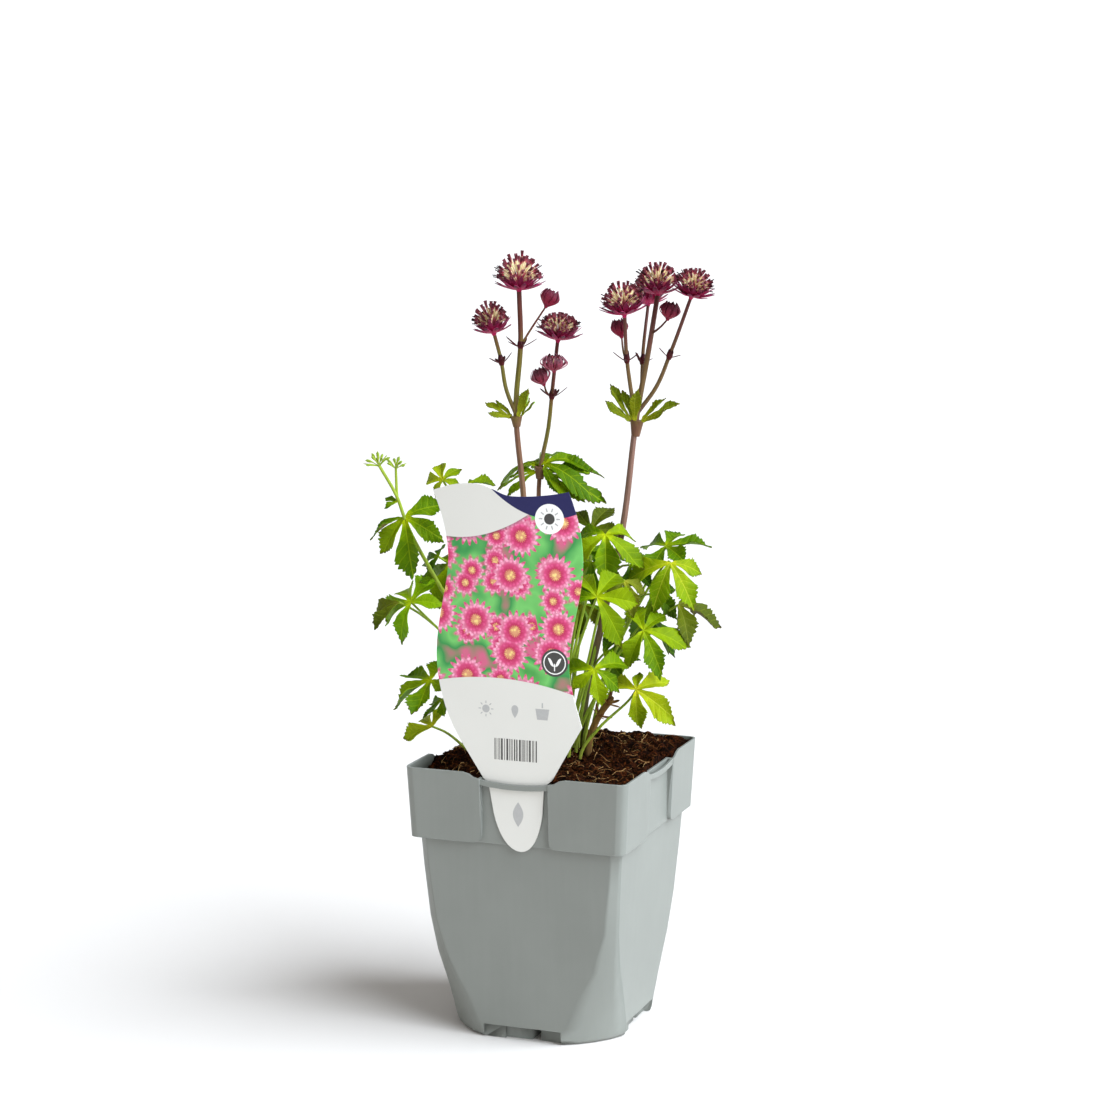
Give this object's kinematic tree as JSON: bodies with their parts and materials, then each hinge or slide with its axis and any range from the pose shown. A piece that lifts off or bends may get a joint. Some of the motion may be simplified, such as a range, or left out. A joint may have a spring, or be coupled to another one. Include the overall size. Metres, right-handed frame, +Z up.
{
  "type": "potted masterwort",
  "caption": "Flowering masterwort plant with toothed palmate leaves and umbels on branched stems, in a square nursery pot with soil and a stick label.",
  "frame": {"origin": "middle of the pot's underside, on the surface it stands on", "axes": "+Z up, the pot's front side with the label faces -Y, +X to the right of the front"},
  "size_m": [0.1861, 0.1363, 0.4375],
  "materials": {
    "pot": "satin",
    "soil": "matte",
    "tag": "satin",
    "leaf": "satin",
    "leaf_dark": "satin",
    "leaf_yellow": "satin",
    "leaf_olive": "satin",
    "stalk_green": "satin",
    "stem_maroon": "matte",
    "stem_taupe": "matte",
    "dry_stem": "matte",
    "bract": "satin",
    "floret": "matte"
  },
  "bodies": {
    "root": {"pot": "pot", "soil": "soil", "tag": "tag", "leaf_left_high": "leaf", "leaf_left_low": "leaf_dark", "leaf_left_small": "leaf_dark", "leaf_left_ground": "leaf_olive", "leaf_left_young": "leaf_yellow", "leaf_left_crest": "leaf", "leaf_left_shade": "leaf_dark", "leaf_behind_tag": "leaf", "leaf_right_top": "leaf", "leaf_right_olive": "leaf_olive", "leaf_right_far": "leaf", "leaf_right_mid": "leaf_yellow", "leaf_front_right": "leaf", "leaf_right_low": "leaf", "leaf_right_outer": "leaf_olive", "leaf_front_low": "leaf", "leaf_yellow": "leaf_yellow", "leaf_back_left": "leaf", "leaf_back_middle": "leaf", "leaf_back_right": "leaf_dark", "leaf_back_high": "leaf_dark", "leaf_back_low": "leaf_dark", "leaf_side_left": "leaf_dark", "bloom_a_top_collar": "bract", "bloom_a_top_florets": "floret", "bloom_a_left_collar": "bract", "bloom_a_left_florets": "floret", "bloom_b_collar": "bract", "bloom_b_florets": "floret", "bloom_c_left_collar": "bract", "bloom_c_left_florets": "floret", "bloom_c_top_collar": "bract", "bloom_c_top_florets": "floret", "bloom_c_right_collar": "bract", "bloom_c_right_florets": "floret", "bloom_c_back_collar": "bract", "bloom_c_back_florets": "floret", "bud_a": "bract", "bud_b_front": "bract", "bud_b_left": "bract", "bud_c_right": "bract", "bud_c_left": "bract", "stem_a": "stem_maroon", "stem_b": "stem_maroon", "stem_c": "stem_taupe", "whorl_a": "leaf", "whorl_b": "leaf_dark", "whorl_c": "leaf", "shoot": "stalk_green", "stump": "dry_stem"}
  },
  "joints": []
}
